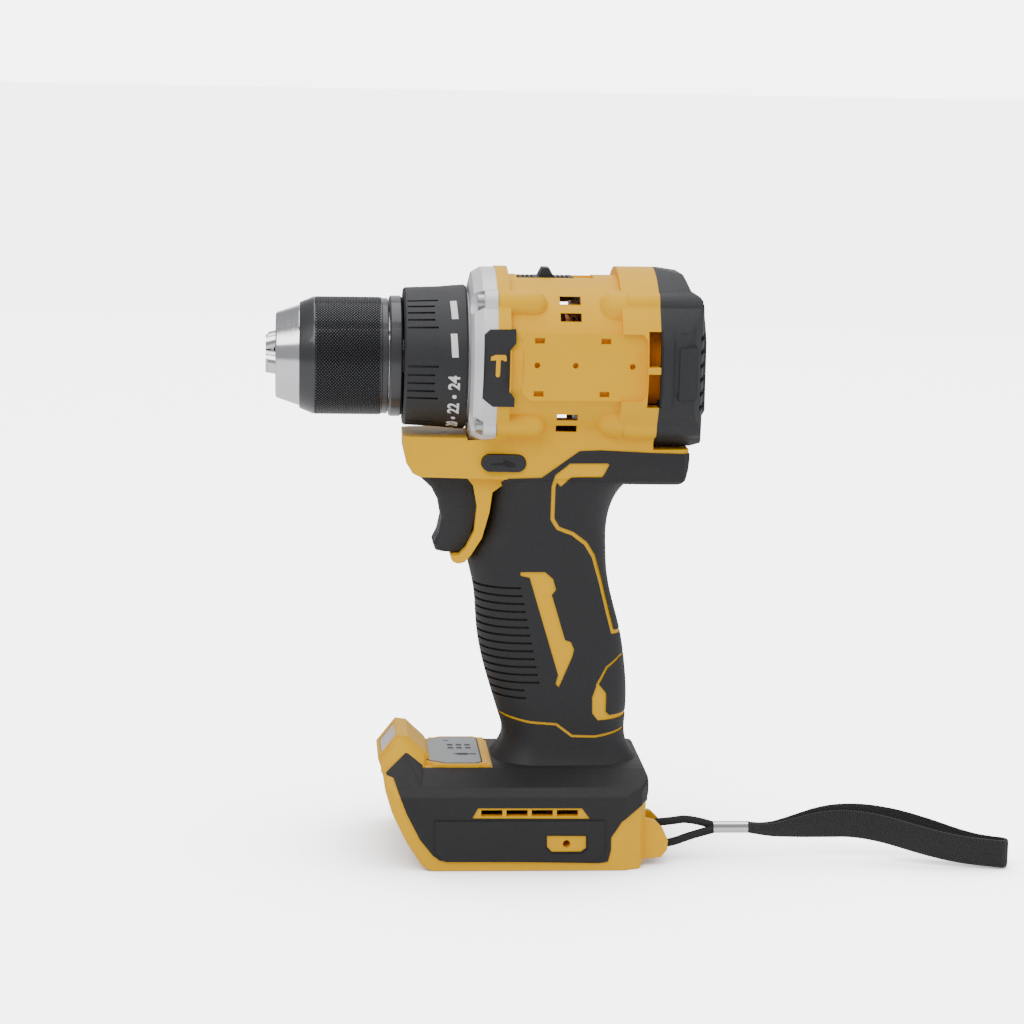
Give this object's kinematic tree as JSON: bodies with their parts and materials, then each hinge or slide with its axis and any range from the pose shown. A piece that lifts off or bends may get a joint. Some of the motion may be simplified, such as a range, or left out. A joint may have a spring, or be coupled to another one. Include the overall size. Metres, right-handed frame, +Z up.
{
  "type": "cordless drill",
  "caption": "Pistol-grip cordless drill with keyless chuck, numbered clutch collar, trigger, battery rail foot with lamp and a short wrist strap.",
  "frame": {"origin": "centre of the drill's box in plan, at the foot's underside, strap left out", "axes": "+X from the chuck towards the back cover, along the spindle; +Y out of the left side; +Z up"},
  "size_m": [0.2729, 0.0753, 0.2177],
  "materials": {
    "shell": "satin",
    "soft": "matte",
    "dark_plastic": "matte",
    "grey_plastic": "matte",
    "clear": "gloss",
    "alloy": "satin",
    "steel": "satin",
    "black_steel": "gloss",
    "polished_steel": "polished",
    "copper": "gloss",
    "board": "matte",
    "laminated": "satin",
    "webbing": "woven"
  },
  "bodies": {
    "housing": {"housing_left": "shell", "housing_right": "shell", "grip_left": "soft", "grip_right": "soft", "foot_cover_left": "soft", "foot_cover_right": "soft", "lamp_lens": "clear", "lamp_board": "board", "indicator_panel": "grey_plastic", "rear_cover": "dark_plastic", "rear_cover_screws": "steel", "gear_case": "alloy", "gear_case_screws": "steel", "housing_screws": "steel", "ring_gear_1": "steel", "ring_gear_2": "steel", "spindle_bearing": "steel", "clutch_spring": "steel", "motor_mount": "alloy", "front_bearing": "steel", "rear_bearing": "steel", "motor_stator": "laminated", "motor_windings": "copper", "switch_body": "dark_plastic", "hammer_plate_left": "dark_plastic", "hammer_plate_right": "dark_plastic", "terminal_block": "dark_plastic", "terminal_blades": "copper", "control_board": "board", "strap_bar": "steel", "strap_cord": "webbing", "strap_ferrule": "polished_steel", "strap_webbing": "webbing"},
    "spindle_group": {"spindle": "steel", "chuck_body": "polished_steel", "chuck_screw": "steel", "chuck_rear_ring": "black_steel"},
    "sleeve_group": {"chuck_sleeve": "black_steel", "chuck_nut": "steel"},
    "jaw_1": {"jaw_1": "polished_steel"},
    "jaw_2": {"jaw_2": "polished_steel"},
    "jaw_3": {"jaw_3": "polished_steel"},
    "first_carrier": {"carrier_1": "steel"},
    "rotor": {"motor_shaft": "steel", "rotor_core": "laminated", "fan": "dark_plastic"},
    "collar": {"clutch_collar": "dark_plastic"},
    "trigger": {"trigger": "dark_plastic"},
    "direction_button": {"direction_button": "dark_plastic"},
    "speed_slider": {"speed_slider": "dark_plastic"},
    "planet_1a": {"planet_1a": "steel"},
    "planet_1b": {"planet_1b": "steel"},
    "planet_1c": {"planet_1c": "steel"},
    "planet_2a": {"planet_2a": "steel"},
    "planet_2b": {"planet_2b": "steel"},
    "planet_2c": {"planet_2c": "steel"}
  },
  "joints": [
    {"name": "spindle_spin", "type": "hinge", "parent": "housing", "child": "spindle_group", "pos_m": [-0.02, 0, 0.184], "axis": [1, 0, 0], "continuous": true},
    {"name": "first_carrier_spin", "type": "hinge", "parent": "housing", "child": "first_carrier", "pos_m": [0.012, 0, 0.184], "axis": [1, 0, 0], "continuous": true},
    {"name": "rotor_spin", "type": "hinge", "parent": "housing", "child": "rotor", "pos_m": [0.042, 0, 0.184], "axis": [1, 0, 0], "continuous": true},
    {"name": "sleeve_turn", "type": "hinge", "parent": "spindle_group", "child": "sleeve_group", "pos_m": [-0.05, 0, 0.184], "axis": [1, 0, 0], "range_deg": [0, 2895]},
    {"name": "collar_turn", "type": "hinge", "parent": "housing", "child": "collar", "pos_m": [-0.02, 0, 0.184], "axis": [1, 0, 0], "range_deg": [-290, 20]},
    {"name": "trigger_pull", "type": "slide", "parent": "housing", "child": "trigger", "axis": [1, 0, 0], "range_m": [0, 0.007], "stiffness_N_per_m": 1500, "springref_m": -0.002},
    {"name": "direction_slide", "type": "slide", "parent": "housing", "child": "direction_button", "axis": [0, 1, 0], "range_m": [-0.0025, 0.0025]},
    {"name": "speed_slide", "type": "slide", "parent": "housing", "child": "speed_slider", "axis": [1, 0, 0], "range_m": [0, 0.006]},
    {"name": "jaw_1_slide", "type": "slide", "parent": "spindle_group", "child": "jaw_1", "axis": [0.9659, 0, 0.2588], "range_m": [0, 0.01934]},
    {"name": "jaw_2_slide", "type": "slide", "parent": "spindle_group", "child": "jaw_2", "axis": [0.9659, -0.2241, -0.1294], "range_m": [0, 0.01934]},
    {"name": "jaw_3_slide", "type": "slide", "parent": "spindle_group", "child": "jaw_3", "axis": [0.9659, 0.2241, -0.1294], "range_m": [0, 0.01934]},
    {"name": "planet_2a_spin", "type": "hinge", "parent": "spindle_group", "child": "planet_2a", "pos_m": [0.0065, 0, 0.1948], "axis": [1, 0, 0], "continuous": true},
    {"name": "planet_1a_spin", "type": "hinge", "parent": "first_carrier", "child": "planet_1a", "pos_m": [0.0165, 0, 0.1948], "axis": [1, 0, 0], "continuous": true},
    {"name": "planet_2b_spin", "type": "hinge", "parent": "spindle_group", "child": "planet_2b", "pos_m": [0.0065, -0.00935, 0.1786], "axis": [1, 0, 0], "continuous": true},
    {"name": "planet_1b_spin", "type": "hinge", "parent": "first_carrier", "child": "planet_1b", "pos_m": [0.0165, -0.00935, 0.1786], "axis": [1, 0, 0], "continuous": true},
    {"name": "planet_2c_spin", "type": "hinge", "parent": "spindle_group", "child": "planet_2c", "pos_m": [0.0065, 0.00935, 0.1786], "axis": [1, 0, 0], "continuous": true},
    {"name": "planet_1c_spin", "type": "hinge", "parent": "first_carrier", "child": "planet_1c", "pos_m": [0.0165, 0.00935, 0.1786], "axis": [1, 0, 0], "continuous": true}
  ],
  "couplings": [
    {"joint": "first_carrier_spin", "follows": "spindle_spin", "ratio": 4.5},
    {"joint": "rotor_spin", "follows": "spindle_spin", "ratio": 20.25},
    {"joint": "jaw_1_slide", "follows": "sleeve_turn", "m_per_rad": 0.00038197},
    {"joint": "jaw_2_slide", "follows": "sleeve_turn", "m_per_rad": 0.00038197},
    {"joint": "jaw_3_slide", "follows": "sleeve_turn", "m_per_rad": 0.00038197},
    {"joint": "planet_2a_spin", "follows": "spindle_spin", "ratio": -2.8},
    {"joint": "planet_1a_spin", "follows": "spindle_spin", "ratio": -12.6},
    {"joint": "planet_2b_spin", "follows": "spindle_spin", "ratio": -2.8},
    {"joint": "planet_1b_spin", "follows": "spindle_spin", "ratio": -12.6},
    {"joint": "planet_2c_spin", "follows": "spindle_spin", "ratio": -2.8},
    {"joint": "planet_1c_spin", "follows": "spindle_spin", "ratio": -12.6}
  ]
}
